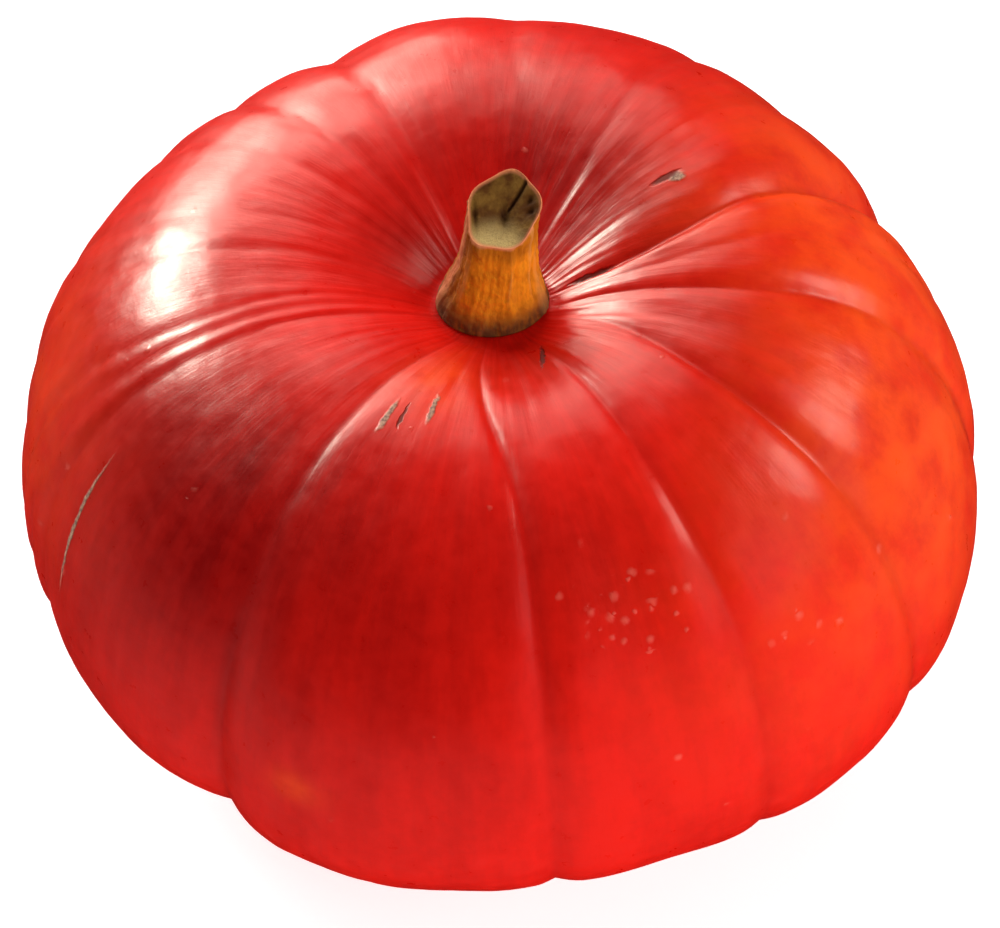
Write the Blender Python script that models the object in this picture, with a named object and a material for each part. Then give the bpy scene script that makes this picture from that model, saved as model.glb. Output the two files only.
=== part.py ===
"""Red kabocha squash: a ribbed, flattened fruit and the corky stem left on it. Metres, +Z up.

The fruit stands on its blossom end. Azimuths are in degrees, 0 at the front (-Y) and 90 at +X.
"""

import math

import bmesh
import bpy
from mathutils import Vector

# Where the stem's axis stands, so that the box of the whole squash is centred on the origin
AXIS_X = 0.0007
AXIS_Y = -0.0018

# Fruit: side profile, as heights above and below the level of the greatest width
HALF_WIDTH = 0.0922
CROWN_RISE = 0.0711
SHOULDER_FILL = 0.0095
BASE_DROP = 0.0545
WAIST_DROP = 0.0481
FOOT_LEVEL = 0.0506
TURN_SPREAD = 0.2

# Slow waves of the plan outline: how many go round, their share of the radius, azimuth of a crest
PLAN_WAVES = (
    (1, 0.0037, -98.0),
    (2, 0.0079, 39.0),
    (3, 0.0138, 47.0),
    (4, 0.0105, -16.0),
)

# Stem hollow in the crown, and the flat seat at its bottom
HOLLOW_DEPTH = 0.0285
HOLLOW_SPREAD = 0.333
HOLLOW_POWER = 1.35
SEAT_RADIUS = 0.0110

# Underside: a flat foot ring round a shallow dimple that holds the blossom scar
FOOT_EASE = 0.0006
FOOT_RADIUS = 0.0280
DIMPLE_RADIUS = 0.0140
DIMPLE_DEPTH = 0.0032
SCAR_RADIUS = 0.0050
SCAR_RISE = 0.0011

# Grooves between the lobes: azimuth, depth, and how far the next lobe swells past the plain profile
GROOVES = (
    (-157.0, 0.0031, -0.0004),
    (-140.5, 0.0028, 0.0002),
    (-129.0, 0.0028, -0.0008),
    (-111.0, 0.0026, 0.0001),
    (-102.0, 0.0030, -0.0013),
    (-85.4, 0.0027, -0.0015),
    (-76.5, 0.0026, -0.0008),
    (-39.0, 0.0046, -0.0005),
    (-19.5, 0.0005, -0.0012),
    (3.0, 0.0028, -0.0024),
    (29.1, 0.0020, -0.0008),
    (53.4, 0.0026, -0.0017),
    (84.1, 0.0028, -0.0002),
    (99.5, 0.0010, -0.0008),
    (110.7, 0.0058, 0.0003),
    (131.9, 0.0010, -0.0004),
    (146.2, 0.0021, -0.0010),
    (173.5, 0.0019, 0.0010),
)
GROOVE_FADE = 0.55

# Stem: a ribbed stub that flares at its foot, leans to +X and ends in a slanted, dished cut
STEM_GAP = 0.0003
NECK_RADIUS = 0.0066
FLARE = 0.0038
FLARE_HEIGHT = 0.0075
FLARE_POWER = 1.6
FOOT_FLATNESS = 0.14
RIBS = 5
RIB_AZIMUTH = 20.0
RIB_SHARE = 0.05
STEM_LEAN = 0.12
CUT_HEIGHT = 0.0245
CUT_RISE_RIGHT = 0.16
CUT_RISE_BACK = 0.49
CUT_DISH = 0.0016

# Mesh fineness
DEGREES_PER_SEGMENT = 3.9
FEWEST_HALF_LOBE_STEPS = 2
SEAT_RINGS = 2
CROWN_RINGS = 20
SIDE_RINGS = 13
FOOT_RINGS = 3
DIMPLE_RINGS = 4
STEM_SEGMENTS = 40
CUT_RINGS = 4
STEM_SIDE_RINGS = 13
STEM_BASE_RINGS = 1
STEM_RING_CROWDING = 1.3
SHARP_ANGLE = 40.0
PROFILE_STEP = 1e-4

FRUIT_RED = (0.56, 0.014, 0.006, 1.0)
FRUIT_ROUGHNESS = 0.28
STEM_BROWN = (0.40, 0.19, 0.055, 1.0)
STEM_ROUGHNESS = 0.8


def clear_scene():
    for obj in list(bpy.data.objects):
        bpy.data.objects.remove(obj, do_unlink=True)


def finish(name, colour, roughness):
    material = bpy.data.materials.new(name)
    material.use_nodes = True
    shader = material.node_tree.nodes["Principled BSDF"]
    shader.inputs["Base Color"].default_value = colour
    shader.inputs["Roughness"].default_value = roughness
    shader.inputs["Metallic"].default_value = 0.0
    return material


def spread(spans):
    """Numbers from the start of the first span to the end of the last, evenly spaced in each span."""
    values = []
    for start, end, steps in spans:
        values += [start + (end - start) * step / steps for step in range(steps)]
    return values + [spans[-1][1]]


def moulded(name, rings, segments, place):
    """A closed body: a UV sphere with the vertex of each ring and segment moved to where place() says."""
    shell = bmesh.new()
    last_ring = len(rings) - 1
    bmesh.ops.create_uvsphere(shell, u_segments=len(segments), v_segments=last_ring, radius=1.0)
    for vertex in shell.verts:
        ring = round(math.acos(max(-1.0, min(1.0, vertex.co.z))) / math.pi * last_ring)
        # The primitive's first segment lies on +Y, and the others follow anticlockwise
        turn = math.atan2(-vertex.co.x, vertex.co.y) / math.tau
        vertex.co = place(rings[ring], segments[round(turn * len(segments)) % len(segments)])
    mesh = bpy.data.meshes.new(name)
    shell.to_mesh(mesh)
    shell.free()
    mesh.shade_smooth()
    mesh.set_sharp_from_angle(angle=math.radians(SHARP_ANGLE))
    return bpy.data.objects.new(name, mesh)


def hollow(radius):
    """Depth of the stem hollow at a radius given as a share of the half width; none at the rim."""
    edge = math.exp(-((1.0 / HOLLOW_SPREAD) ** HOLLOW_POWER))
    return HOLLOW_DEPTH * (math.exp(-((radius / HOLLOW_SPREAD) ** HOLLOW_POWER)) - edge)


def side_profile(polar):
    """Radius and height of the smooth body, from 0 at the stem to pi at the blossom end."""
    level = math.cos(polar)
    radius = math.sin(polar)
    upper = CROWN_RISE + SHOULDER_FILL * radius**2
    lower = BASE_DROP + (WAIST_DROP - BASE_DROP) * radius**2
    upper_share = 0.5 + 0.5 * math.tanh(level / TURN_SPREAD)
    height = level * (lower + (upper - lower) * upper_share)
    if level > 0.0:
        height -= hollow(radius)
    return HALF_WIDTH * radius, height


def side_normal(polar):
    """The profile's outward direction, as its outward and upward parts."""
    radius_before, height_before = side_profile(polar - PROFILE_STEP)
    radius_after, height_after = side_profile(polar + PROFILE_STEP)
    return Vector((height_before - height_after, radius_after - radius_before)).normalized()


def plan_share(azimuth):
    """The plan outline's radius at an azimuth, as a share of the mean one."""
    waves = (share * math.cos(math.radians(count * (azimuth - crest))) for count, share, crest in PLAN_WAVES)
    return 1.0 + sum(waves)


def lobe_relief(azimuth):
    """How far the skin stands out from the smooth body, where the grooves are at their deepest."""
    for (start, depth, swell), (end, end_depth, _) in zip(GROOVES, GROOVES[1:] + GROOVES[:1]):
        across = ((azimuth - start) % 360.0) / ((end - start) % 360.0)
        if across < 1.0:
            break
    near_start = max(0.0, 1.0 - 2.0 * across) ** 2
    near_end = max(0.0, 2.0 * across - 1.0) ** 2
    return swell * math.sin(math.pi * across) ** 2 - depth * near_start - end_depth * near_end


def on_foot(height, radius):
    """Height above the surface it stands on, with the foot ring flat and the dimple inside it."""
    above = height + FOOT_LEVEL
    if above > FOOT_EASE:
        return above
    if above > -FOOT_EASE:
        return (above + FOOT_EASE) ** 2 / (4.0 * FOOT_EASE)
    dimple = DIMPLE_DEPTH * max(0.0, 1.0 - (radius / DIMPLE_RADIUS) ** 2) ** 2
    return dimple - SCAR_RISE * max(0.0, 1.0 - (radius / SCAR_RADIUS) ** 2) ** 2


def skin(polar, azimuth):
    """The point of the fruit's skin at a polar angle and an azimuth."""
    seat_polar = math.asin(SEAT_RADIUS / HALF_WIDTH)
    radius, height = side_profile(max(polar, seat_polar))
    out, up = side_normal(max(polar, seat_polar))
    inner = SEAT_RADIUS / HALF_WIDTH
    fade = max(0.0, (math.sin(polar) - inner) / (1.0 - inner)) ** GROOVE_FADE
    relief = lobe_relief(azimuth) * fade
    if polar < seat_polar:
        radius = HALF_WIDTH * math.sin(polar)
    radius = radius * plan_share(azimuth) + relief * out
    turn = math.radians(azimuth)
    return Vector(
        (radius * math.sin(turn), -radius * math.cos(turn), on_foot(height + relief * up, radius))
    )


def make_fruit():
    segments = []
    for groove, following in zip(GROOVES, GROOVES[1:] + GROOVES[:1]):
        width = (following[0] - groove[0]) % 360.0
        steps = 2 * max(FEWEST_HALF_LOBE_STEPS, round(width / DEGREES_PER_SEGMENT / 2))
        segments += spread([(groove[0], groove[0] + width, steps)])[:-1]
    seat_polar = math.asin(SEAT_RADIUS / HALF_WIDTH)
    dimple_polar = math.pi - math.asin(DIMPLE_RADIUS / HALF_WIDTH)
    foot_polar = math.pi - math.asin(FOOT_RADIUS / HALF_WIDTH)
    rings = spread(
        [
            (0.0, seat_polar, SEAT_RINGS),
            (seat_polar, math.pi / 2.0, CROWN_RINGS),
            (math.pi / 2.0, foot_polar, SIDE_RINGS),
            (foot_polar, dimple_polar, FOOT_RINGS),
            (dimple_polar, math.pi, DIMPLE_RINGS),
        ]
    )
    fruit = moulded("fruit", rings, segments, skin)
    fruit.location = (AXIS_X, AXIS_Y, 0.0)
    return fruit


def stem_across(height, azimuth):
    """Where the stem's side is in plan at a height: its foot is wider than it is deep, and it leans."""
    flare = math.exp(-((height / FLARE_HEIGHT) ** FLARE_POWER))
    ribs = RIB_SHARE * (1.0 - flare) * math.cos(RIBS * math.radians(azimuth - RIB_AZIMUTH))
    radius = (NECK_RADIUS + FLARE * flare) * (1.0 + ribs)
    turn = math.radians(azimuth)
    depth = radius * (1.0 - FOOT_FLATNESS * flare)
    return Vector((radius * math.sin(turn) + STEM_LEAN * height, -depth * math.cos(turn)))


def cut_height(across):
    """Height of the slanted cut's plane over a point in plan."""
    return CUT_HEIGHT + CUT_RISE_RIGHT * (across.x - STEM_LEAN * CUT_HEIGHT) + CUT_RISE_BACK * across.y


def stem_surface(level, azimuth):
    """The stem's skin: levels 0 to 1 cross the cut, 1 to 2 go down the side, 2 to 3 close the foot."""
    rim_height = cut_height(stem_across(CUT_HEIGHT, azimuth))
    rim = stem_across(rim_height, azimuth)
    if level <= 1.0:
        middle = Vector((STEM_LEAN * CUT_HEIGHT, 0.0))
        across = middle.lerp(rim, level)
        height = cut_height(middle) * (1.0 - level) + rim_height * level - CUT_DISH * (1.0 - level**2)
    elif level <= 2.0:
        height = rim_height * (2.0 - level) ** STEM_RING_CROWDING
        across = stem_across(height, azimuth)
    else:
        height = 0.0
        across = stem_across(0.0, azimuth) * (3.0 - level)
    return Vector((across.x, across.y, height))


def make_stem():
    rings = spread([(0.0, 1.0, CUT_RINGS), (1.0, 2.0, STEM_SIDE_RINGS), (2.0, 3.0, STEM_BASE_RINGS)])
    segments = [360.0 * step / STEM_SEGMENTS for step in range(STEM_SEGMENTS)]
    stem = moulded("stem", rings, segments, stem_surface)
    seat = skin(0.0, 0.0)
    stem.location = (AXIS_X, AXIS_Y, seat.z + STEM_GAP)
    return stem


def main():
    clear_scene()
    squash = bpy.data.collections.new("kabocha_squash")
    bpy.context.scene.collection.children.link(squash)
    fruit = make_fruit()
    fruit.data.materials.append(finish("rind", FRUIT_RED, FRUIT_ROUGHNESS))
    squash.objects.link(fruit)
    stem = make_stem()
    stem.data.materials.append(finish("cork", STEM_BROWN, STEM_ROUGHNESS))
    squash.objects.link(stem)


main()
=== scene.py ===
"""Looks of the red kabocha squash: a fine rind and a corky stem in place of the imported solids.

Metres, +Z up. The formulas are those of the solids, and here the grooves are eased and bent and get fine
relief and colours. Azimuths and polar angles are in degrees where they are written down: azimuth 0 is at
the front (-Y) and 90 at +X, and polar angle 0 is at the stem. Inside the functions polar is in radians.
"""

import math

import bpy
import numpy as np
from mathutils import Matrix, Vector, noise


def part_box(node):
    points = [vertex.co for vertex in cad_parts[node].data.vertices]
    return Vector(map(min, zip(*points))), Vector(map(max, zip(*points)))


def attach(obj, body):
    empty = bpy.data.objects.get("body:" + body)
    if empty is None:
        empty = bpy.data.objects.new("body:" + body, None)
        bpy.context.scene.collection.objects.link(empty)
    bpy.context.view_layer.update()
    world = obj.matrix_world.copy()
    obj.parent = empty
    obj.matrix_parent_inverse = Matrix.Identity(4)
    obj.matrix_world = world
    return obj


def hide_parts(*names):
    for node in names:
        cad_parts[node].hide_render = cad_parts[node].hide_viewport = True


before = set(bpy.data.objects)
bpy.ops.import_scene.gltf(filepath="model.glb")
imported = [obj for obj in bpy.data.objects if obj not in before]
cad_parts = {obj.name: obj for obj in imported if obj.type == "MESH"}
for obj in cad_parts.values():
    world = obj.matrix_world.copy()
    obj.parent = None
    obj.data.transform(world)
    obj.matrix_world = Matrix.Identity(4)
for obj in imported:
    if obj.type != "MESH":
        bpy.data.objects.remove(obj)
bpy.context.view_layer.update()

# Where the stem's axis stands
AXIS_X = 0.0007
AXIS_Y = -0.0018

# Fruit, as in the solids: side profile, plan outline, stem hollow and underside
HALF_WIDTH = 0.0922
CROWN_RISE = 0.0711
SHOULDER_FILL = 0.0095
BASE_DROP = 0.0545
WAIST_DROP = 0.0481
FOOT_LEVEL = 0.0506
TURN_SPREAD = 0.2
PROFILE_STEP = 1e-4
# Waves of the plan outline: how many round it, share of the radius, azimuth of a crest
PLAN_WAVES = (
    (1, 0.0037, -98.0),
    (2, 0.0079, 39.0),
    (3, 0.0138, 47.0),
    (4, 0.0105, -16.0),
)
HOLLOW_DEPTH = 0.0285
HOLLOW_SPREAD = 0.333
HOLLOW_POWER = 1.35
SEAT_RADIUS = 0.0110
FOOT_EASE = 0.0006
DIMPLE_RADIUS = 0.0140
DIMPLE_DEPTH = 0.0032
SCAR_RADIUS = 0.0050
SCAR_RISE = 0.0011
# Grooves: azimuth, depth, and swell of the lobe after it
GROOVES = (
    (-157.0, 0.0031, -0.0004),
    (-140.5, 0.0028, 0.0002),
    (-129.0, 0.0028, -0.0008),
    (-111.0, 0.0026, 0.0001),
    (-102.0, 0.0030, -0.0013),
    (-85.4, 0.0027, -0.0015),
    (-76.5, 0.0026, -0.0008),
    (-39.0, 0.0046, -0.0005),
    (-19.5, 0.0005, -0.0012),
    (3.0, 0.0028, -0.0024),
    (29.1, 0.0020, -0.0008),
    (53.4, 0.0026, -0.0017),
    (84.1, 0.0028, -0.0002),
    (99.5, 0.0010, -0.0008),
    (110.7, 0.0058, 0.0003),
    (131.9, 0.0010, -0.0004),
    (146.2, 0.0021, -0.0010),
    (173.5, 0.0019, 0.0010),
)
GROOVE_FADE = 0.55
GROOVE_POWER = 2.0

# What the grooves have here and not in the solids: rounded bottoms, in degrees, an easier run towards the
# stem, and narrower, shallower grooves on the left side. A side is its middle azimuth and its spread.
GROOVE_ROUNDING = 0.3
LEFT_ROUNDING = 0.6
BACK_ROUNDING = 0.5
STEM_EASE = 0.3
LEFT_EASE = 0.9
LEFT_NARROWING = 1.5
LEFT_SHALLOWING = 0.4
LEFT_SIDE = (-112.0, 34.0)
BACK_SIDE = (175.0, 45.0)
# Where the grooves bend aside: azimuth, polar angle, spread in each, and how far in degrees
GROOVE_BENDS = (
    (-4.0, 5.0, 18.0, 18.0, -15.0),
    (60.0, 3.0, 22.0, 16.0, 17.0),
    (98.0, 0.0, 30.0, 26.0, -24.0),
    (163.0, 10.0, 18.0, 16.0, -15.5),
    (-84.0, 36.0, 8.0, 14.0, 3.5),
    (-118.0, 8.0, 12.0, 10.0, -9.0),
    (-102.0, 34.0, 7.0, 12.0, 1.6),
)
# Where the grooves are shallower: azimuth, polar angle, spread in each, and by what share
SHALLOW_PLACES = (
    (-36.0, 37.0, 20.0, 20.0, 0.82),
    (-93.5, 42.0, 7.0, 18.0, 0.75),
    (-120.0, 42.0, 8.0, 20.0, 0.5),
    (-72.0, 38.0, 9.0, 16.0, 0.55),
    (126.0, 22.0, 30.0, 16.0, 0.45),
    (-112.0, 44.0, 7.0, 22.0, 0.9),
    (-128.0, 46.0, 9.0, 20.0, 0.5),
    (-102.0, 44.0, 5.0, 16.0, 0.35),
    (170.0, 36.0, 50.0, 20.0, 0.45),
)

# Fine relief of the rind, in metres: how far it is held in, the heights above the ground between which
# it starts, and for each kind its height and the radii between which it starts or ends
RIND_INSET = 0.00008
OFF_FOOT = (0.0005, 0.008)
CREASE_DEPTH = 0.0006
CREASE_POWER = 5
CREASED_SIDE = (20.0, 60.0)
CREASES_START = (0.020, 0.045)
FOLD_HEIGHT = 0.00006
RIGHT_FOLD_HEIGHT = 0.00010
FOLDED_SIDE = (65.0, 75.0)
FOLDS_START = (SEAT_RADIUS, 0.016)
FOLDS_END = (0.020, 0.052)
RIPPLES_END = (0.03, 0.08)
MERIDIAN_STRETCH = 0.15
# Depth from which a groove counts as a clear one
CLEAR_DEPTH = 0.002
# Noise of the relief: height where it is one of several layers, size of the cells, seed and octaves
FOLD_NOISE = (0.11, 3, 2)
RIND_LUMPS = (
    (0.00030, 0.024, 1, 3),
    (0.00010, 0.0065, 2, 3),
)
RIND_RIPPLES = ((0.00006, 0.045, 4, 2),)
STEM_RIDGES = (
    (0.00050, 0.30, 11, 2),
    (0.00026, 0.10, 12, 2),
)
STEM_CRUST = (
    (0.00026, 0.0028, 13, 3),
    (0.00010, 0.0009, 14, 2),
)
CUT_CRUMBS = (
    (0.00016, 0.0016, 15, 3),
    (0.00008, 0.0006, 16, 2),
)
# How each octave of noise is weaker and finer than the one before, and how far a seed moves the noise
NOISE_FALL = 1.0
NOISE_GAP = 2.0
SEED_STEPS = (7.31, 3.77, 5.13)

# Stem, as in the solids
STEM_GAP = 0.0003
NECK_RADIUS = 0.0066
FLARE = 0.0038
FLARE_HEIGHT = 0.0075
FLARE_POWER = 1.6
FOOT_FLATNESS = 0.14
RIBS = 5
RIB_AZIMUTH = 20.0
RIB_SHARE = 0.05
STEM_LEAN = 0.12
CUT_HEIGHT = 0.0245
CUT_RISE_RIGHT = 0.16
CUT_RISE_BACK = 0.49
CUT_DISH = 0.0016

# Levels of the stem's skin between which the relief of its side starts and ends, and the cut's ends
SIDE_START = (1.0, 1.05)
SIDE_END = (1.97, 2.0)
CUT_EDGE = (0.86, 1.0)
# Fine relief of the stem, in metres, but for the stretch of its fibres and the share of its dips
STEM_INSET = 0.00010
RIM_ROUNDING = 0.0003
RIM_REACH = 0.0006
FIBRE_STRETCH = 12.0
CUT_INSET = 0.00012
CUT_MARK_DEPTH = 0.0009
PIT_WIDTH = 0.0009
PIT_LENGTH = 0.0017
CRACK_WIDTH = 0.00042
CRACK_START = (0.0002, 0.0012)
CRACK_END = (0.0058, 0.0074)
DIP_SHARE = 0.8
# Small dips of the cut: how far right and back of its middle, and half sizes
CUT_DIPS = (
    (0.0047, 0.0014, 0.0006, 0.0006),
    (0.0047, -0.0005, 0.0006, 0.0006),
    (-0.0050, 0.0002, 0.0004, 0.0022),
)

# Fineness of the meshes
DEGREES_PER_SEGMENT = 0.82
FEWEST_HALF_LOBE_STEPS = 3
RIND_RINGS = 216
ARC_STEPS = 720
STEM_SEGMENTS = 180
CUT_RINGS = 30
STEM_SIDE_RINGS = 96
STEM_BASE_RINGS = 3
MILLIMETRES = 1000.0
TINY = 1e-12

# Camera: the photograph's view, from the fit of the outline and the grooves
PICTURE_WIDTH = 1000
CAMERA_ELEVATION = 52.574
CAMERA_ROLL = -3.802
CAMERA_DISTANCE = 0.69959
CAMERA_SHIFT_RIGHT = -0.00063
FOCAL_PIXELS = 3636.0
SENSOR_WIDTH = 36.0
CAMERA_RANGE = 20.0

# Rind colours
CRIMSON = (0.24, 0.0004, 0.0004, 1.0)
SCARLET = (0.72, 0.0070, 0.0025, 1.0)
ORANGE = (0.90, 0.070, 0.005, 1.0)
# Painted shade in the grooves
CREASE_SHADE_RED = (0.26, 0.003, 0.003, 1.0)
CORK_TAN = (0.50, 0.27, 0.17, 1.0)
CORK_BROWN = (0.20, 0.10, 0.07, 1.0)
# Brown of the dark slits, also painted shade in the creases beside the stem
SLIT_AND_CREASE_SHADE_BROWN = (0.10, 0.012, 0.006, 1.0)
SPECK_PINK = (0.85, 0.20, 0.14, 1.0)
# Painted shade: how far the rind darkens to crimson in its shade patches
PAINTED_SHADE_SHARE = 0.85
DARK_SHARE = 0.85
# Painted shade in the grooves: how it narrows to them and how strongly it shows
GROOVE_SHADE_POWER = 7.0
GROOVE_SHADE_SHARE = 0.25

# Rind surface: roughness from least to most, gloss, streaks, and heights of its bumps in metres
RIND_ROUGHNESS = (0.27, 0.34)
MARK_DULLNESS = 0.5
RIND_SPECULAR = 0.12
STREAK_STRETCH = 0.55
MOTTLE_BUMP = 0.00006
HAIR_BUMP = 0.00004
SPECK_BUMP = 0.00010
CORK_BUMP = 0.00022
SLIT_DEPTH = 0.0004

# Edges of the marks: where they fade, as shares of their half sizes, and how ragged they are, in mm
MARK_EDGE = (1.25, 0.55)
RAGGED_SCALE = 700.0
RAGGED_REACH = (0.9, 1.6, 0.0)
# Pale specks: how they crowd in their marks and elsewhere, and their sizes as shares of a cell
SPECK_CROWDING = 0.7
SPECK_CHANCE = 0.003
SPECK_SHARE = 0.30
SPECK_SCALE = 470.0
SPECK_WARP = (0.0009, 0.0009, 0.0009)
SPECK_EDGES = (0.22, 0.62)
SPECK_CORE = 0.05
# Marks on the rind: azimuth, polar angle, half length along the meridian, half width (mm), slant
CORK_MARKS = (
    (-31.0, 24.6, 4.2, 0.60, 2.0),
    (-20.4, 21.4, 3.8, 0.50, 2.0),
    (-69.0, 67.0, 16.0, 0.50, 3.0),
    (117.0, 26.3, 1.9, 1.1, 0.0),
)
# Dark slits and creases: the scars' own brown, with painted shade in the creases beside the stem
DARK_SLITS_AND_CREASE_SHADE = (
    (94.2, 11.5, 4.6, 0.45, 0.0),
    (26.0, 11.7, 4.0, 0.40, -24.0),
    (-27.2, 24.0, 3.0, 0.30, 3.0),
    (118.6, 25.0, 3.2, 0.7, 0.0),
)
SPECK_MARKS = (
    (17.5, 51.5, 8.5, 12.0, 0.0),
    (37.5, 63.3, 6.0, 6.5, 0.0),
    (-10.9, 65.3, 1.8, 1.8, 0.0),
    (-54.7, 47.5, 1.8, 1.8, 0.0),
    (-78.4, 43.7, 1.8, 1.8, 0.0),
)
# Painted shade, where the rind is made deep crimson on the dark front-left lobe, in the hollow behind the
# stem and in smaller patches: azimuth, polar angle, spread in each, strength
PAINTED_SHADE_PATCHES = (
    (-50.0, 51.0, 33.0, 22.0, 1.0),
    (6.0, 44.0, 18.0, 12.0, 0.2),
    (60.0, 27.0, 20.0, 8.0, 0.3),
    (145.0, 18.0, 55.0, 13.0, 0.8),
)
# Where the rind ripens to orange: azimuth, polar angle, spread in each, strength
ORANGE_PATCHES = (
    (72.0, 62.0, 34.0, 24.0, 1.0),
    (105.0, 50.0, 26.0, 22.0, 0.8),
    (-24.0, 16.0, 14.0, 6.0, 0.8),
    (-92.0, 66.0, 20.0, 16.0, 0.45),
    (-27.0, 79.0, 3.0, 2.0, 0.7),
)

# Stem colours
STEM_GOLD = (0.78, 0.24, 0.010, 1.0)
# Brown of the stem, also its painted shade on the side away from the light and under the cut's lip
STEM_BROWN_AND_SHADE = (0.15, 0.030, 0.004, 1.0)
STEM_RED = (0.42, 0.060, 0.015, 1.0)
STEM_OLIVE = (0.10, 0.040, 0.018, 1.0)
STEM_PALE = (0.72, 0.42, 0.17, 1.0)
CUT_OLIVE = (0.20, 0.095, 0.018, 1.0)
CUT_BROWN = (0.09, 0.030, 0.007, 1.0)
CUT_CREAM = (0.66, 0.46, 0.17, 1.0)
CUT_DARK = (0.035, 0.010, 0.004, 1.0)
# Pale of the cut's rim line, also the painted rim light down the stem's left edge
RIM_PALE = (0.80, 0.26, 0.12, 1.0)
# Which way the side faces that is painted golden by the light from the right-front, with painted shade brown
# away from it, and where a painted rim light runs pale down the stem's left edge
LIT_SIDE_AZIMUTH = 65.0
RIM_LIGHT_AZIMUTH = -96.0
RIM_LIGHT_SPREAD = 11.0
# Where each tint starts and where it is full: heights above the foot, heights of ridges, levels of the skin
RED_HEIGHTS = (0.012, 0.004)
OLIVE_HEIGHTS = (0.0065, 0.0010)
# Painted shadow under the cut's lip: the neck browns between these heights
LIP_SHADOW_HEIGHTS = (0.0150, 0.0200)
CREST_HEIGHTS = (0.0001, 0.0005)
CREAM_HEIGHTS = (0.0232, 0.0206)
CUT_LEVELS = (1.03, 0.97)
RIM_INNER = (0.86, 0.97)
RIM_OUTER = (1.05, 1.0)
# How strongly each tint shows
RED_SHARE = 0.5
# Painted shadow under the cut's lip: how strongly it shows
LIP_SHADOW_SHARE = 0.5
CREST_SHARE = 0.2
# Painted rim light down the left edge: how strongly it shows
RIM_LIGHT_SHARE = 0.7
GRAIN_SHARE = 0.45
RIM_SHARE = 0.8
# Stem surface: roughness, gloss, fibres, and heights of its bumps in metres
STEM_ROUGHNESS = 0.8
STEM_SPECULAR = 0.03
FIBRE_SQUEEZE = 0.22
FIBRE_BUMP = 0.00030
GRAIN_BUMP = 0.00010

# Lamps that the rind mirrors: name, azimuth, elevation, distance, width, height (m), power (W)
MIRRORED_LIGHTS = (
    ("left softbox", -138.0, 28.0, 1.5, 0.38, 0.50, 86.0),
    ("left window", -154.0, 19.0, 1.5, 0.40, 0.30, 13.0),
    ("back window left", -165.0, 30.0, 1.5, 0.60, 0.50, 13.0),
    ("back window right", 175.0, 28.0, 1.5, 0.60, 0.50, 4.5),
    ("back window top", 180.0, 50.0, 1.5, 0.60, 0.40, 4.0),
    ("back window sill", -165.0, 6.0, 1.5, 0.80, 0.30, 9.0),
    ("right softbox", 99.0, 33.0, 1.5, 0.50, 0.50, 19.0),
)
# Soft fill that lights the rind without showing in it, in the same order
FILL_LIGHTS = (
    ("front fill", 28.0, 12.0, 1.8, 1.0, 0.6, 8.5),
    ("right fill", 60.0, 25.0, 1.8, 1.0, 1.0, 15.5),
    ("left fill", -145.0, 32.0, 1.8, 1.0, 1.0, 22.0),
    ("back fill", 175.0, 35.0, 1.8, 1.0, 1.0, 15.0),
)
# The tint of what the rind mirrors, the height that the lamps face, the room and the floor
MIRRORED_TINT = (1.0, 0.96, 0.80)
LIT_HEIGHT = 0.07
WHITE = (1.0, 1.0, 1.0, 1.0)
ROOM_LIGHT = 0.30
FLOOR_PALE = (0.9, 0.9, 0.9, 1.0)
FLOOR_ROUGHNESS = 0.9
FLOOR_SPECULAR = 0.2
FLOOR_GLOW = 0.60
FLOOR_HALF_WIDTH = 3.0
FLOOR_DROP = 0.0001


def hollow(radius):
    """How deep the stem's hollow is at radii given as shares of the half width."""
    edge = np.exp(-((1.0 / HOLLOW_SPREAD) ** HOLLOW_POWER))
    return HOLLOW_DEPTH * (np.exp(-((np.maximum(radius, 0.0) / HOLLOW_SPREAD) ** HOLLOW_POWER)) - edge)


def side_profile(polar):
    """Radius and height of the smooth body at polar angles."""
    level = np.cos(polar)
    radius = np.sin(polar)
    upper = CROWN_RISE + SHOULDER_FILL * radius**2
    lower = BASE_DROP + (WAIST_DROP - BASE_DROP) * radius**2
    upper_share = 0.5 + 0.5 * np.tanh(level / TURN_SPREAD)
    height = level * (lower + (upper - lower) * upper_share)
    return HALF_WIDTH * radius, height - np.where(level > 0.0, hollow(radius), 0.0)


def side_normal(polar):
    """The profile's outward direction, as its outward and upward parts."""
    radius_before, height_before = side_profile(polar - PROFILE_STEP)
    radius_after, height_after = side_profile(polar + PROFILE_STEP)
    out, up = height_before - height_after, radius_after - radius_before
    length = np.hypot(out, up)
    return out / length, up / length


def plan_share(azimuth):
    """The plan outline's radius at azimuths, as a share of the mean one."""
    turn = np.radians(azimuth)
    waves = (share * np.cos(count * (turn - math.radians(crest))) for count, share, crest in PLAN_WAVES)
    return 1.0 + sum(waves)


def turned(azimuth, middle):
    """How far azimuths are from a middle one, from -180 to 180."""
    return (azimuth - middle + 180.0) % 360.0 - 180.0


def on_side(azimuth, side):
    """1 on a side of the squash and 0 away from it; a side is its middle azimuth and its spread."""
    middle, spread = side
    return np.exp(-((turned(azimuth, middle) / spread) ** 4))


def soft_places(polar, azimuth, places):
    """Sum of places that fade outwards: azimuth, polar angle, spread in each, and amount at the middle."""
    total = np.zeros(np.broadcast(polar, azimuth).shape)
    for middle, middle_polar, spread, polar_spread, amount in places:
        aside = turned(azimuth, middle) / spread
        along = (np.degrees(polar) - middle_polar) / polar_spread
        total += amount * np.exp(-(aside**2 + along**2))
    return total


def patches(polar, azimuth, places):
    """The sum of the places, held to 1 where they overlap."""
    return np.minimum(soft_places(polar, azimuth, places), 1.0)


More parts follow.
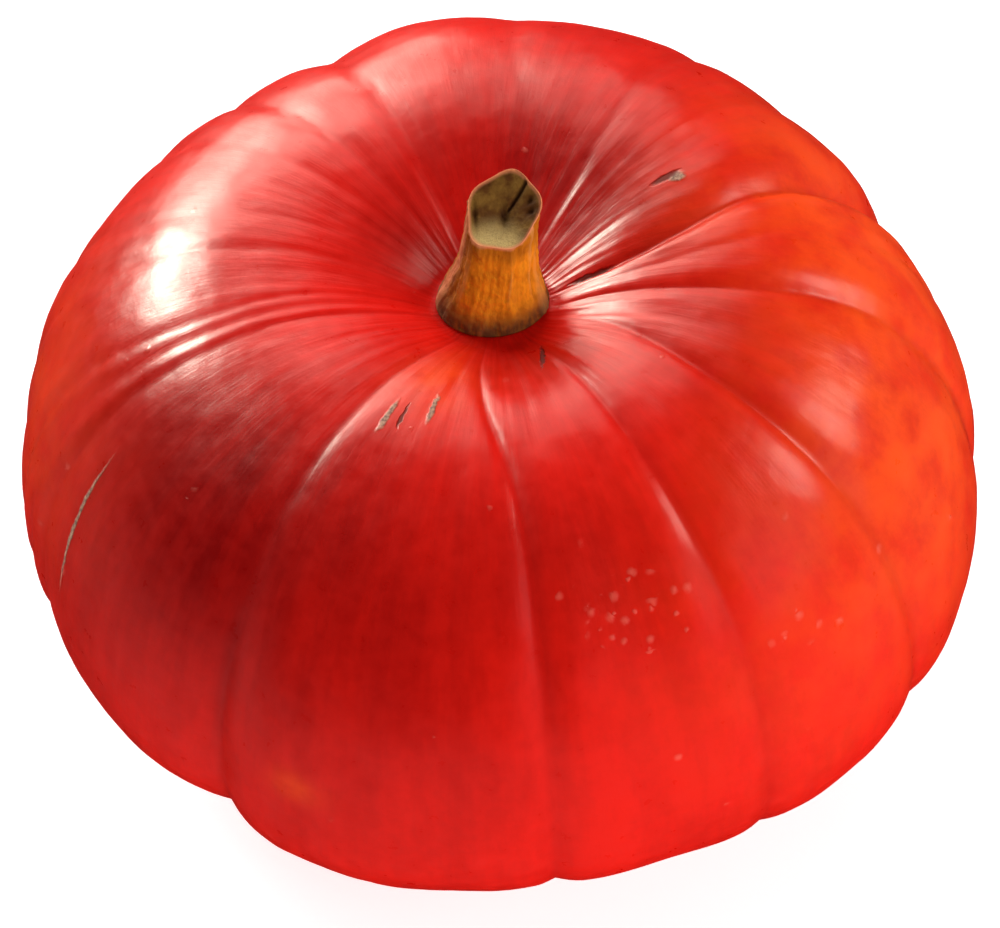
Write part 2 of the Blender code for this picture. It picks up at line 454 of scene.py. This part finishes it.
def lobe_relief(polar, azimuth):
    """How far the skin stands out from the smooth body, and the nearness of a clear groove from 0 to 1."""
    straight = azimuth - soft_places(polar, azimuth, GROOVE_BENDS)
    starts, depths, swells = np.array(GROOVES).T
    lobe = np.searchsorted(starts, (straight - starts[0]) % 360.0 + starts[0], side="right") - 1
    following = (lobe + 1) % len(GROOVES)
    width = (starts[following] - starts[lobe]) % 360.0
    across = ((straight - starts[lobe]) % 360.0) / width
    at_left, at_back = on_side(straight, LEFT_SIDE), on_side(straight, BACK_SIDE)
    rounding = (GROOVE_ROUNDING + LEFT_ROUNDING * at_left + BACK_ROUNDING * at_back) / width
    near_start = np.maximum(0.0, 1.0 - 2.0 * np.hypot(across, rounding))
    near_end = np.maximum(0.0, 1.0 - 2.0 * np.hypot(1.0 - across, rounding))
    power = GROOVE_POWER + LEFT_NARROWING * at_left
    relief = swells[lobe] * np.sin(np.pi * across) ** 2
    dips = depths[lobe] * near_start**power + depths[following] * near_end**power
    relief -= dips * (1.0 - LEFT_SHALLOWING * at_left)
    clear = np.minimum(1.0, depths / CLEAR_DEPTH)
    return relief, clear[lobe] * near_start**2 + clear[following] * near_end**2


def on_foot(height, radius):
    """Height above the surface it stands on, with the foot ring flat and the dimple inside it."""
    above = height + FOOT_LEVEL
    dimple = DIMPLE_DEPTH * np.maximum(0.0, 1.0 - (radius / DIMPLE_RADIUS) ** 2) ** 2
    dimple -= SCAR_RISE * np.maximum(0.0, 1.0 - (radius / SCAR_RADIUS) ** 2) ** 2
    eased = (above + FOOT_EASE) ** 2 / (4.0 * FOOT_EASE)
    return np.where(above > FOOT_EASE, above, np.where(above > -FOOT_EASE, eased, dimple))


def skin(polar, azimuth):
    """Points of the fruit's skin, without the fine relief, for arrays of polar angles and azimuths."""
    seat_share = SEAT_RADIUS / HALF_WIDTH
    seat_polar = math.asin(seat_share)
    beyond_seat = np.maximum(polar, seat_polar)
    radius, height = side_profile(beyond_seat)
    out, up = side_normal(beyond_seat)
    fade = np.maximum(0.0, (np.sin(polar) - seat_share) / (1.0 - seat_share)) ** GROOVE_FADE
    ease = 1.0 + STEM_EASE + LEFT_EASE * on_side(azimuth, LEFT_SIDE)
    relief = lobe_relief(polar, azimuth)[0] * fade**ease
    relief = relief * (1.0 - patches(polar, azimuth, SHALLOW_PLACES))
    radius = np.where(polar < seat_polar, HALF_WIDTH * np.sin(polar), radius)
    radius = radius * plan_share(azimuth) + relief * out
    turn = np.radians(azimuth)
    height = on_foot(height + relief * up, radius)
    return np.stack([AXIS_X + radius * np.sin(turn), AXIS_Y - radius * np.cos(turn), height], axis=-1)


def noise_field(points, size, seed, octaves):
    """Smooth noise at each point, about -1 to 1; size is that of its largest cells, in the points' units."""
    shift = Vector([seed * step for step in SEED_STEPS])
    flat = points.reshape(-1, 3)
    values = [noise.fractal(Vector(point) / size + shift, NOISE_FALL, NOISE_GAP, octaves) for point in flat]
    return np.array(values).reshape(points.shape[:-1])


def layered_noise(points, layers):
    """Sum of noise layers: height, size of the cells, seed and octaves."""
    return sum(height * noise_field(points, size, seed, octaves) for height, size, seed, octaves in layers)


def ramp(values, start, end):
    """0 at start to 1 at end, eased at both."""
    share = np.clip((values - start) / (end - start), 0.0, 1.0)
    return share * share * (3.0 - 2.0 * share)


def grid_normals(points):
    """Outward normals of a closed-round grid: rings down, segments round."""
    down = np.gradient(points, axis=0)
    around = (np.roll(points, -1, axis=1) - np.roll(points, 1, axis=1)) / 2.0
    normal = np.cross(down, around)
    length = np.linalg.norm(normal, axis=-1, keepdims=True)
    return normal / np.maximum(length, TINY)


def inside(points, box):
    """Points scaled about the middle of the box's floor, along each axis on which they would leave it."""
    low, high = np.array(box[0]), np.array(box[1])
    middle = (low + high) / 2.0
    middle[2] = low[2]
    reach = np.abs(points - middle).reshape(-1, 3).max(axis=0)
    room = np.array([high[0] - middle[0], high[1] - middle[1], high[2] - low[2]])
    return middle + (points - middle) * np.minimum(1.0, room / np.maximum(reach, TINY))


def shell_mesh(name, points, u, v):
    """A closed mesh from a grid whose first and last rings are single points, with a UV map for its skin."""
    rings, segments = points.shape[:2]
    vertices = np.concatenate([points[:1, 0], points[1:-1].reshape(-1, 3), points[-1:, 0]])
    last = len(vertices) - 1
    here = np.arange(segments)
    columns = list(zip(here, (here + 1) % segments, u, np.append(u[1:], 1.0)))
    faces, corners = [], []

    def first(ring):
        return 1 + (ring - 1) * segments

    for a, b, left, right in columns:
        faces.append((0, first(1) + a, first(1) + b))
        corners += [((left + right) / 2.0, v[0]), (left, v[1]), (right, v[1])]
    for ring in range(1, rings - 2):
        upper, lower = first(ring), first(ring + 1)
        for a, b, left, right in columns:
            faces.append((upper + a, lower + a, lower + b, upper + b))
            corners += [(left, v[ring]), (left, v[ring + 1]), (right, v[ring + 1]), (right, v[ring])]
    for a, b, left, right in columns:
        faces.append((first(rings - 2) + a, last, first(rings - 2) + b))
        corners += [(left, v[-2]), ((left + right) / 2.0, v[-1]), (right, v[-2])]
    mesh = bpy.data.meshes.new(name)
    mesh.from_pydata(vertices.tolist(), [], faces)
    for layer_name in ("skin", "OFBake"):
        layer = mesh.uv_layers.new(name=layer_name)
        layer.uv.foreach_set("vector", np.array(corners, dtype=np.float32).ravel())
    mesh.shade_smooth()
    return mesh


def add_attribute(mesh, name, grid):
    """A smooth value for each vertex of a shell, from the grid that its points came from."""
    values = np.concatenate([grid[:1, 0], grid[1:-1].ravel(), grid[-1:, 0]])
    mesh.attributes.new(name, "FLOAT", "POINT").data.foreach_set("value", values.astype(np.float32))


def place(mesh, material, node):
    """Put a mesh into the scene, in place of a node of the solids."""
    piece = bpy.data.objects.new(mesh.name, mesh)
    mesh.materials.append(material)
    bpy.context.scene.collection.objects.link(piece)
    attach(piece, "root")
    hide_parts(node)


class Nodes:
    """Short calls that add nodes to a material; a value may be a number, a colour or a node's output."""

    def __init__(self, name):
        self.material = bpy.data.materials.new(name)
        self.material.use_nodes = True
        self.tree = self.material.node_tree
        self.shader = self.tree.nodes["Principled BSDF"]

    def feed(self, socket, value):
        if isinstance(value, bpy.types.NodeSocket):
            self.tree.links.new(value, socket)
        else:
            socket.default_value = value

    def add(self, kind, inputs, **settings):
        node = self.tree.nodes.new(kind)
        for name, value in settings.items():
            setattr(node, name, value)
        for key, value in inputs.items():
            self.feed(node.inputs[key], value)
        return node

    def set(self, **values):
        for name, value in values.items():
            self.feed(self.shader.inputs[name.replace("_", " ")], value)

    def math(self, operation, first, second=0.0, clamp=False):
        inputs = {0: first, 1: second}
        return self.add("ShaderNodeMath", inputs, operation=operation, use_clamp=clamp).outputs[0]

    def times(self, first, second):
        return self.math("MULTIPLY", first, second)

    def vector(self, operation, first, second=(0.0, 0.0, 0.0)):
        node = self.add("ShaderNodeVectorMath", {0: first, 1: second}, operation=operation)
        return node.outputs["Value"] if operation == "LENGTH" else node.outputs["Vector"]

    def ramp(self, value, start, end, low=0.0, high=1.0):
        inputs = {"Value": value, "From Min": start, "From Max": end, "To Min": low, "To Max": high}
        return self.add("ShaderNodeMapRange", inputs, interpolation_type="SMOOTHSTEP").outputs[0]

    def mix(self, share, first, second):
        return self.add("ShaderNodeMix", {0: share, 6: first, 7: second}, data_type="RGBA").outputs[2]

    def noise(self, place_on, scale, detail, roughness=0.55):
        inputs = {"Vector": place_on, "Scale": scale, "Detail": detail, "Roughness": roughness}
        return self.add("ShaderNodeTexNoise", inputs).outputs["Fac"]

    def object_place(self):
        return self.add("ShaderNodeTexCoord", {}).outputs["Object"]

    def attribute(self, name):
        return self.add("ShaderNodeAttribute", {}, attribute_name=name).outputs["Fac"]

    def bump(self, layers):
        """Bumps for the shader's normal, from values and the heights in metres that they stand for."""
        total = 0.0
        for value, height in layers:
            total = self.math("ADD", total, self.times(value, height))
        node = self.add("ShaderNodeBump", {"Height": total, "Distance": 1.0, "Strength": 1.0})
        self.set(Normal=node.outputs[0])


def rind_azimuths():
    """Azimuths once round from the first groove, with one on each groove."""
    values = []
    for groove, following in zip(GROOVES, GROOVES[1:] + GROOVES[:1]):
        width = (following[0] - groove[0]) % 360.0
        steps = 2 * max(FEWEST_HALF_LOBE_STEPS, round(width / DEGREES_PER_SEGMENT / 2))
        values += [groove[0] + width * step / steps for step in range(steps)]
    return np.array(values)


def arc_share(polar):
    """Share of the way from the stem to the blossom end along the smooth profile, and its length in mm."""
    angles = np.linspace(0.0, math.pi, ARC_STEPS + 1)
    radius, height = side_profile(angles)
    arc = np.concatenate([[0.0], np.cumsum(np.hypot(np.diff(radius), np.diff(height)))])
    return np.interp(polar, angles, arc / arc[-1]), arc[-1] * MILLIMETRES


def rind_relief(points, polar, azimuth):
    """Fine relief along the normal: lumps, folds and ripples from the stem, and creases in the grooves."""
    radius = side_profile(polar)[0]
    turn = np.radians(azimuth)
    meridian = [np.sin(turn), np.cos(turn), MERIDIAN_STRETCH * polar]
    meridian = np.stack(np.broadcast_arrays(*meridian), axis=-1)
    lumps = layered_noise(points, RIND_LUMPS)
    near_stem = ramp(radius, *FOLDS_START) * (1.0 - ramp(radius, *FOLDS_END))
    fold_height = FOLD_HEIGHT + RIGHT_FOLD_HEIGHT * on_side(azimuth, FOLDED_SIDE)
    folds = fold_height * noise_field(meridian, *FOLD_NOISE) * near_stem
    ripples = layered_noise(meridian, RIND_RIPPLES) * (1.0 - ramp(radius, *RIPPLES_END))
    creased = on_side(azimuth, CREASED_SIDE) * ramp(radius, *CREASES_START)
    creases = CREASE_DEPTH * lobe_relief(polar, azimuth)[1] ** CREASE_POWER * creased
    return lumps + folds + ripples - creases


def make_rind():
    azimuth = rind_azimuths()[None, :]
    polar = np.linspace(0.0, math.pi, RIND_RINGS)[:, None]
    points = skin(polar, azimuth)
    off_foot = ramp(points[..., 2], *OFF_FOOT)
    relief = (rind_relief(points, polar, azimuth) - RIND_INSET) * off_foot
    points = inside(points + grid_normals(points) * relief[..., None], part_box("fruit"))
    share = arc_share(polar[:, 0])[0]
    mesh = shell_mesh("rind", points, (azimuth[0] - azimuth[0, 0]) / 360.0, 1.0 - share)
    # Nearness of a clear groove, for the painted shade in the grooves
    add_attribute(mesh, "groove", lobe_relief(polar, azimuth)[1])
    add_attribute(mesh, "blush", patches(polar, azimuth, ORANGE_PATCHES))
    # Where the rind darkens with painted shade
    add_attribute(mesh, "deep", patches(polar, azimuth, PAINTED_SHADE_PATCHES))
    place(mesh, rind_material(), "fruit")


def mark_mask(nodes, uv, marks, raggedness):
    """1 inside any of the marks and 0 outside, with ragged edges."""
    total = 0.0
    for azimuth, polar, half_length, half_width, slant in marks:
        share, arc_length = arc_share(math.radians(polar))
        round_length = 2.0 * math.pi * float(side_profile(math.radians(polar))[0]) * MILLIMETRES
        middle = (((azimuth - GROOVES[0][0]) % 360.0) / 360.0, 1.0 - float(share), 0.0)
        offset = nodes.vector("SUBTRACT", uv, middle)
        offset = nodes.vector("MULTIPLY", offset, (round_length, arc_length, 0.0))
        inputs = {
            "Vector": nodes.vector("ADD", offset, raggedness),
            "Rotation": (0.0, 0.0, math.radians(slant)),
            "Scale": (half_width, half_length, 1.0),
        }
        place_in_mark = nodes.add("ShaderNodeMapping", inputs, vector_type="TEXTURE").outputs[0]
        away = nodes.vector("LENGTH", place_in_mark)
        total = nodes.math("MAXIMUM", total, nodes.ramp(away, *MARK_EDGE))
    return total


def rind_streaks(nodes, uv):
    """A place whose noise runs in streaks along the meridians."""
    parts = nodes.add("ShaderNodeSeparateXYZ", {0: uv})
    turn = nodes.times(parts.outputs["X"], math.tau)
    along = nodes.times(parts.outputs["Y"], STREAK_STRETCH)
    parts = {0: nodes.math("SINE", turn), 1: nodes.math("COSINE", turn), 2: along}
    return nodes.add("ShaderNodeCombineXYZ", parts).outputs[0]


def rind_colour(nodes, place_on, meridian, mottle):
    """Crimson to scarlet as the rind ripens, with painted shade deep crimson in its shade patches, orange in
    its patches, and painted shade darker in the grooves.
    """
    clouds = nodes.noise(place_on, scale=28.0, detail=3.0)
    streaks = nodes.noise(meridian, scale=16.0, detail=4.0, roughness=0.6)
    flames = nodes.noise(place_on, scale=80.0, detail=5.0, roughness=0.65)
    ripeness = nodes.ramp(clouds, 0.3, 0.7, low=0.75, high=1.0)
    # Painted shade: deep crimson in the shade patches
    ripeness = nodes.math("SUBTRACT", ripeness, nodes.times(nodes.attribute("deep"), PAINTED_SHADE_SHARE))
    ripeness = nodes.math("ADD", ripeness, nodes.ramp(mottle, 0.3, 0.7, low=-0.06, high=0.06))
    streaks = nodes.ramp(streaks, 0.35, 0.7, low=-0.08, high=0.10)
    colour = nodes.mix(nodes.math("ADD", ripeness, streaks, clamp=True), CRIMSON, SCARLET)
    orange = nodes.times(nodes.attribute("blush"), nodes.ramp(flames, 0.3, 0.65, low=0.3, high=1.0))
    colour = nodes.mix(orange, colour, ORANGE)
    # Painted shade: darker red in the grooves
    groove_shade = nodes.math("POWER", nodes.attribute("groove"), GROOVE_SHADE_POWER)
    return nodes.mix(nodes.times(groove_shade, GROOVE_SHADE_SHARE), colour, CREASE_SHADE_RED)


def speck_mask(nodes, place_on, uv, ragged):
    """1 in pale specks of many sizes, crowded where SPECK_MARKS has them and rare elsewhere."""
    uneven = nodes.vector("ADD", place_on, nodes.vector("MULTIPLY", ragged, SPECK_WARP))
    cells = nodes.add("ShaderNodeTexVoronoi", {"Vector": uneven, "Scale": SPECK_SCALE, "Randomness": 1.0})
    draws = nodes.add("ShaderNodeSeparateColor", {0: cells.outputs["Color"]})
    edge = nodes.ramp(draws.outputs[1], 0.0, 1.0, *SPECK_EDGES)
    speck = nodes.ramp(cells.outputs["Distance"], edge, SPECK_CORE)
    crowded = nodes.times(mark_mask(nodes, uv, SPECK_MARKS, ragged), SPECK_CROWDING)
    wanted = nodes.math("ADD", crowded, SPECK_CHANCE)
    return nodes.times(speck, nodes.math("LESS_THAN", draws.outputs[0], wanted))


def rind_material():
    nodes = Nodes("rind")
    place_on = nodes.object_place()
    uv = nodes.add("ShaderNodeUVMap", {}, uv_map="skin").outputs["UV"]
    meridian = rind_streaks(nodes, uv)
    mottle = nodes.noise(place_on, scale=330.0, detail=4.0, roughness=0.6)
    grain = nodes.noise(place_on, scale=1500.0, detail=2.0)
    hairs = nodes.noise(meridian, scale=60.0, detail=3.0, roughness=0.6)
    ragged = nodes.add("ShaderNodeTexNoise", {"Vector": place_on, "Scale": RAGGED_SCALE, "Detail": 2.0})
    ragged = nodes.vector("SUBTRACT", ragged.outputs["Color"], (0.5, 0.5, 0.5))
    ragged = nodes.vector("MULTIPLY", ragged, RAGGED_REACH)
    cork = mark_mask(nodes, uv, CORK_MARKS, ragged)
    dark = mark_mask(nodes, uv, DARK_SLITS_AND_CREASE_SHADE, ragged)
    speck = speck_mask(nodes, place_on, uv, ragged)

    colour = rind_colour(nodes, place_on, meridian, mottle)
    colour = nodes.mix(nodes.times(speck, SPECK_SHARE), colour, SPECK_PINK)
    colour = nodes.mix(cork, colour, nodes.mix(nodes.ramp(grain, 0.35, 0.65), CORK_TAN, CORK_BROWN))
    # Dark slits and creases: the scars' own brown, and painted shade in the creases beside the stem
    colour = nodes.mix(nodes.times(dark, DARK_SHARE), colour, SLIT_AND_CREASE_SHADE_BROWN)
    rough = nodes.ramp(mottle, 0.25, 0.75, *RIND_ROUGHNESS)
    dull = nodes.times(nodes.math("MAXIMUM", cork, dark), MARK_DULLNESS)
    rough = nodes.math("ADD", rough, dull, clamp=True)
    nodes.set(Base_Color=colour, Roughness=rough, Specular_IOR_Level=RIND_SPECULAR)
    nodes.bump([
        (mottle, MOTTLE_BUMP),
        (hairs, HAIR_BUMP),
        (speck, SPECK_BUMP),
        (cork, CORK_BUMP),
        (dark, -SLIT_DEPTH),
    ])
    return nodes.material


def stem_across(height, azimuth):
    """Where the stem's side is in plan at heights above its foot, as the solids have it."""
    flare = np.exp(-((np.maximum(height, 0.0) / FLARE_HEIGHT) ** FLARE_POWER))
    ribs = RIB_SHARE * (1.0 - flare) * np.cos(RIBS * np.radians(azimuth - RIB_AZIMUTH))
    radius = (NECK_RADIUS + FLARE * flare) * (1.0 + ribs)
    turn = np.radians(azimuth)
    depth = radius * (1.0 - FOOT_FLATNESS * flare)
    return radius * np.sin(turn) + STEM_LEAN * height, -depth * np.cos(turn)


def cut_height(x, y):
    """Height of the slanted cut's plane above the stem's foot."""
    return CUT_HEIGHT + CUT_RISE_RIGHT * (x - STEM_LEAN * CUT_HEIGHT) + CUT_RISE_BACK * y


def stem_skin(level, azimuth):
    """The stem's skin: levels 0 to 1 cross the cut, 1 to 2 go down the side, 2 to 3 close the foot."""
    level, azimuth = np.broadcast_arrays(level, azimuth)
    rim_height = cut_height(*stem_across(np.full(azimuth.shape, CUT_HEIGHT), azimuth))
    rim_x, rim_y = stem_across(rim_height, azimuth)
    middle_x = STEM_LEAN * CUT_HEIGHT
    out, down = np.clip(level, 0.0, 1.0), np.clip(2.0 - level, 0.0, 1.0)
    cut_x, cut_y = middle_x + (rim_x - middle_x) * out, rim_y * out
    cut_z = cut_height(middle_x, 0.0) * (1.0 - out) + rim_height * out - CUT_DISH * (1.0 - out**2)
    side_z = rim_height * down
    side_x, side_y = stem_across(side_z, azimuth)
    closing = np.clip(3.0 - level, 0.0, 1.0)
    x = np.where(level <= 1.0, cut_x, side_x * closing)
    y = np.where(level <= 1.0, cut_y, side_y * closing)
    return np.stack([x, y, np.where(level <= 1.0, cut_z, side_z)], axis=-1)


def cut_marks(across, back):
    """How deep the cut's pit, crack and dips are, from 0 to 1, at places in metres from its middle."""
    pit = np.exp(-((across / PIT_WIDTH) ** 2) - ((back / PIT_LENGTH) ** 2))
    along, aside = (across + back) / math.sqrt(2.0), (across - back) / math.sqrt(2.0)
    crack = np.exp(-((aside / CRACK_WIDTH) ** 2))
    crack = crack * ramp(along, *CRACK_START) * (1.0 - ramp(along, *CRACK_END))
    deep = np.maximum(pit, crack)
    for dip_across, dip_back, half_width, half_length in CUT_DIPS:
        away = ((across - dip_across) / half_width) ** 2 + ((back - dip_back) / half_length) ** 2
        deep = np.maximum(deep, DIP_SHARE * np.exp(-away))
    return deep


def make_stem():
    azimuth = np.arange(STEM_SEGMENTS)[None, :] * 360.0 / STEM_SEGMENTS
    level = np.concatenate([
        np.linspace(0.0, 1.0, CUT_RINGS, endpoint=False),
        np.linspace(1.0, 2.0, STEM_SIDE_RINGS, endpoint=False),
        np.linspace(2.0, 3.0, STEM_BASE_RINGS + 1),
    ])[:, None]
    points = stem_skin(level, azimuth)
    normals = grid_normals(points)
    turn = np.radians(azimuth)
    height = points[..., 2]
    along_stem = [np.sin(turn), np.cos(turn), height * FIBRE_STRETCH]
    ridges = layered_noise(np.stack(np.broadcast_arrays(*along_stem), axis=-1), STEM_RIDGES)
    crust = layered_noise(points, STEM_CRUST)
    from_rim = np.where(level > 1.0, (level - 1.0) * CUT_HEIGHT, (1.0 - level) * NECK_RADIUS)
    rounding = RIM_ROUNDING * np.exp(-((from_rim / RIM_REACH) ** 2))
    down_side = ramp(level, *SIDE_START) * (1.0 - ramp(level, *SIDE_END))
    relief = (ridges + crust - STEM_INSET) * down_side - rounding
    on_cut = 1.0 - ramp(level, *CUT_EDGE)
    dark = cut_marks(points[..., 0] - STEM_LEAN * CUT_HEIGHT, points[..., 1]) * on_cut
    crumbs = layered_noise(points, CUT_CRUMBS)
    relief = relief + (crumbs - CUT_MARK_DEPTH * dark - CUT_INSET) * on_cut
    points = points + normals * relief[..., None]
    seat = skin(np.zeros(1), np.zeros(1))[0, 2]
    points = inside(points + np.array([AXIS_X, AXIS_Y, seat + STEM_GAP]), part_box("stem"))
    mesh = shell_mesh("stem_cork", points, azimuth[0] / 360.0, 1.0 - level[:, 0] / 3.0)
    grids = {
        "level": level,
        "rise": height,
        "ridge": ridges,
        "dark": dark,
        # Which way the side faces, for its painted light and shade, and the stripe of the painted rim light
        "facing": np.cos(turn - math.radians(LIT_SIDE_AZIMUTH)),
        "edge": np.exp(-((turned(azimuth, RIM_LIGHT_AZIMUTH) / RIM_LIGHT_SPREAD) ** 2)),
    }
    for name, grid in grids.items():
        add_attribute(mesh, name, np.broadcast_to(grid, height.shape))
    place(mesh, stem_material(), "stem")


def stem_side_colour(nodes, fibres, clouds, rise):
    """Painted light golden where the side faces the light from the right-front and painted shade brown
    elsewhere, olive at the foot, with streaks, a painted shadow brown under the cut's lip and a painted rim
    light down the left edge.
    """
    # Painted light and shade: golden on the side facing the right-front light, brown on the side away from
    # it
    lit_tone = nodes.ramp(nodes.attribute("facing"), -0.9, 0.1, low=0.25, high=0.8)
    lit_tone = nodes.math("ADD", lit_tone, nodes.ramp(fibres, 0.3, 0.7, low=-0.15, high=0.25))
    lit_tone = nodes.math("ADD", lit_tone, nodes.ramp(clouds, 0.35, 0.65, low=-0.12, high=0.12), clamp=True)
    colour = nodes.mix(lit_tone, STEM_BROWN_AND_SHADE, STEM_GOLD)
    red_streak = nodes.times(nodes.ramp(clouds, 0.5, 0.72), nodes.ramp(rise, *RED_HEIGHTS))
    colour = nodes.mix(nodes.times(red_streak, RED_SHARE), colour, STEM_RED)
    low = nodes.times(nodes.ramp(rise, *OLIVE_HEIGHTS), nodes.ramp(fibres, 0.25, 0.6, low=0.5, high=0.95))
    colour = nodes.mix(low, colour, STEM_OLIVE)
    # Painted shadow: brown under the cut's lip
    colour = nodes.mix(nodes.times(nodes.ramp(rise, *LIP_SHADOW_HEIGHTS), LIP_SHADOW_SHARE), colour, STEM_BROWN_AND_SHADE)
    crest = nodes.times(nodes.ramp(nodes.attribute("ridge"), *CREST_HEIGHTS), CREST_SHARE)
    colour = nodes.mix(crest, colour, STEM_PALE)
    # Painted rim light: a pale stripe down the stem's left edge
    return nodes.mix(nodes.times(nodes.attribute("edge"), RIM_LIGHT_SHARE), colour, RIM_PALE)


def cut_colour(nodes, clouds, grain, rise):
    """Olive and brown in clouds, creamy at the cut's low front, with brown grain."""
    colour = nodes.mix(nodes.ramp(clouds, 0.35, 0.65), CUT_OLIVE, CUT_BROWN)
    pale = nodes.times(nodes.ramp(rise, *CREAM_HEIGHTS), nodes.ramp(grain, 0.25, 0.6, low=0.65, high=1.0))
    colour = nodes.mix(pale, colour, CUT_CREAM)
    return nodes.mix(nodes.times(nodes.ramp(grain, 0.52, 0.72), GRAIN_SHARE), colour, CUT_BROWN)


def stem_material():
    nodes = Nodes("stem_cork")
    place_on = nodes.object_place()
    level, rise = nodes.attribute("level"), nodes.attribute("rise")
    stretched = nodes.vector("MULTIPLY", place_on, (1.0, 1.0, FIBRE_SQUEEZE))
    fibres = nodes.noise(stretched, scale=900.0, detail=4.0, roughness=0.6)
    clouds = nodes.noise(place_on, scale=260.0, detail=3.0)
    grain = nodes.noise(place_on, scale=2600.0, detail=3.0, roughness=0.6)

    side = stem_side_colour(nodes, fibres, clouds, rise)
    cut = cut_colour(nodes, clouds, grain, rise)
    colour = nodes.mix(nodes.ramp(level, *CUT_LEVELS), side, cut)
    rim = nodes.times(nodes.ramp(level, *RIM_INNER), nodes.ramp(level, *RIM_OUTER))
    colour = nodes.mix(nodes.times(rim, RIM_SHARE), colour, RIM_PALE)
    colour = nodes.mix(nodes.times(nodes.attribute("dark"), DARK_SHARE), colour, CUT_DARK)
    nodes.set(Base_Color=colour, Roughness=STEM_ROUGHNESS, Specular_IOR_Level=STEM_SPECULAR)
    nodes.bump([(fibres, FIBRE_BUMP), (grain, GRAIN_BUMP)])
    return nodes.material


def make_stage():
    mesh = bpy.data.meshes.new("floor")
    half = FLOOR_HALF_WIDTH
    corners = [(-half, -half, 0.0), (half, -half, 0.0), (half, half, 0.0), (-half, half, 0.0)]
    mesh.from_pydata(corners, [], [(0, 1, 2, 3)])
    floor = bpy.data.objects.new("floor", mesh)
    floor.location = (0.0, 0.0, -FLOOR_DROP)
    nodes = Nodes("floor")
    nodes.set(Base_Color=FLOOR_PALE, Roughness=FLOOR_ROUGHNESS, Specular_IOR_Level=FLOOR_SPECULAR)
    nodes.set(Emission_Color=WHITE, Emission_Strength=FLOOR_GLOW)
    mesh.materials.append(nodes.material)
    bpy.context.scene.collection.objects.link(floor)
    floor.visible_glossy = False


def add_softbox(name, azimuth, elevation, distance, width, height, power):
    """An area light seen from the squash at an azimuth and elevation, facing it."""
    light = bpy.data.lights.new(name, "AREA")
    light.shape = "RECTANGLE"
    light.size = width
    light.size_y = height
    light.energy = power
    lamp = bpy.data.objects.new(name, light)
    turn, rise = math.radians(azimuth), math.radians(elevation)
    away = Vector((math.sin(turn) * math.cos(rise), -math.cos(turn) * math.cos(rise), math.sin(rise)))
    lamp.location = Vector((0.0, 0.0, LIT_HEIGHT)) + away * distance
    lamp.rotation_euler = away.to_track_quat("Z", "Y").to_euler()
    bpy.context.scene.collection.objects.link(lamp)
    return lamp


def make_lights():
    for settings in MIRRORED_LIGHTS:
        lamp = add_softbox(*settings)
        lamp.visible_diffuse = False
        lamp.data.color = MIRRORED_TINT
    for settings in FILL_LIGHTS:
        add_softbox(*settings).visible_glossy = False
    world = bpy.data.worlds.new("studio")
    world.use_nodes = True
    room = world.node_tree.nodes["Background"]
    room.inputs["Color"].default_value = WHITE
    room.inputs["Strength"].default_value = ROOM_LIGHT
    world.cycles_visibility.glossy = False
    bpy.context.scene.world = world


def make_camera():
    rise, roll = math.radians(CAMERA_ELEVATION), math.radians(CAMERA_ROLL)
    back = Vector((0.0, -math.cos(rise), math.sin(rise)))
    level_right = Vector((1.0, 0.0, 0.0))
    level_up = back.cross(level_right)
    right = level_right * math.cos(roll) + level_up * math.sin(roll)
    up = level_up * math.cos(roll) - level_right * math.sin(roll)
    data = bpy.data.cameras.new("camera")
    data.sensor_width = SENSOR_WIDTH
    data.lens = SENSOR_WIDTH * FOCAL_PIXELS / PICTURE_WIDTH
    data.clip_end = CAMERA_RANGE
    camera = bpy.data.objects.new("camera", data)
    target = Vector((AXIS_X, AXIS_Y, FOOT_LEVEL))
    position = target + back * CAMERA_DISTANCE + right * CAMERA_SHIFT_RIGHT
    axes = Matrix((right, up, back)).transposed().to_4x4()
    camera.matrix_world = Matrix.Translation(position) @ axes
    bpy.context.scene.collection.objects.link(camera)
    bpy.context.scene.camera = camera


make_camera()
make_lights()
make_stage()
make_rind()
make_stem()
bpy.context.scene.view_settings.view_transform = "Standard"
